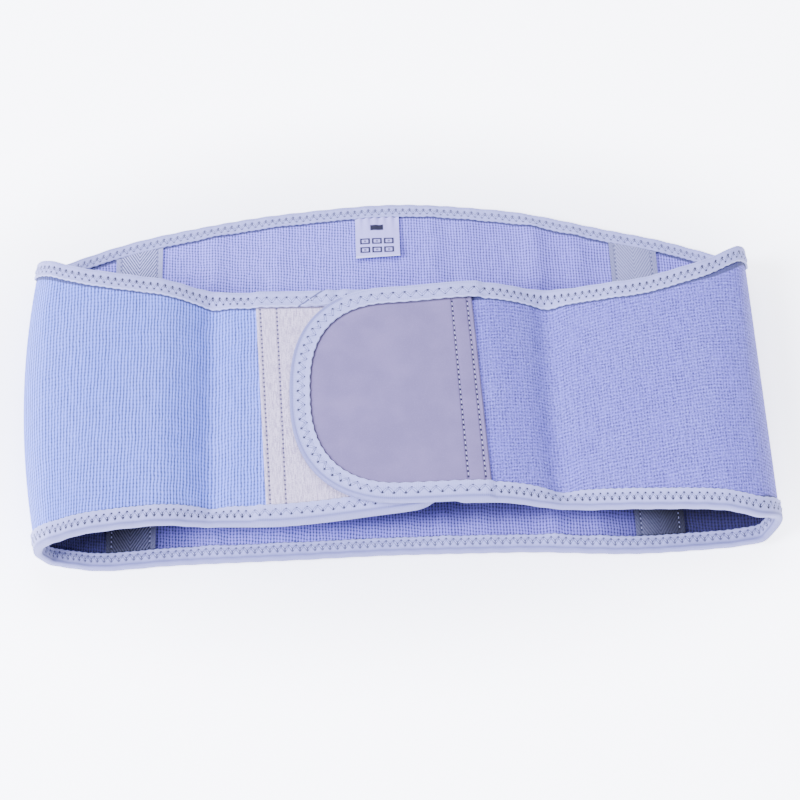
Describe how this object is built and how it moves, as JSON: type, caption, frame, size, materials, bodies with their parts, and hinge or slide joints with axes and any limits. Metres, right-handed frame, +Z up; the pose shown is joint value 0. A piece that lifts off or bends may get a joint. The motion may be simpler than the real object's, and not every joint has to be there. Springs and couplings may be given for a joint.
{
  "type": "lumbosacral back support",
  "caption": "Elastic lower back support belt, closed in a ring by a hook-and-loop tab with a rounded end and lying flat on its back panel.",
  "frame": {"origin": "centre of the belt's box in plan, at the surface that it lies on", "axes": "+X across the belt from turn to turn, +Y along its axis towards the label, which is the belt's upper edge when it is worn, +Z up from the back panel to the front closure"},
  "size_m": [0.416, 0.2498, 0.0386],
  "materials": {
    "knit": "ribbed elastic knit, matte",
    "loop_pile": "short loop pile, matte",
    "laminate": "smooth laminated cloth, slight sheen",
    "binding": "elastic binding, matte",
    "twill_tape": "herringbone twill, matte",
    "label": "satin woven label"
  },
  "bodies": {
    "root": {"elastic_band": "knit", "landing_pad": "loop_pile", "closure_tab": "laminate", "edge_binding_lower_left": "binding", "edge_binding_lower_right": "binding", "edge_binding_upper_left": "binding", "edge_binding_upper_right": "binding", "stay_channel_left": "twill_tape", "stay_channel_right": "twill_tape", "size_label": "label"}
  },
  "joints": []
}
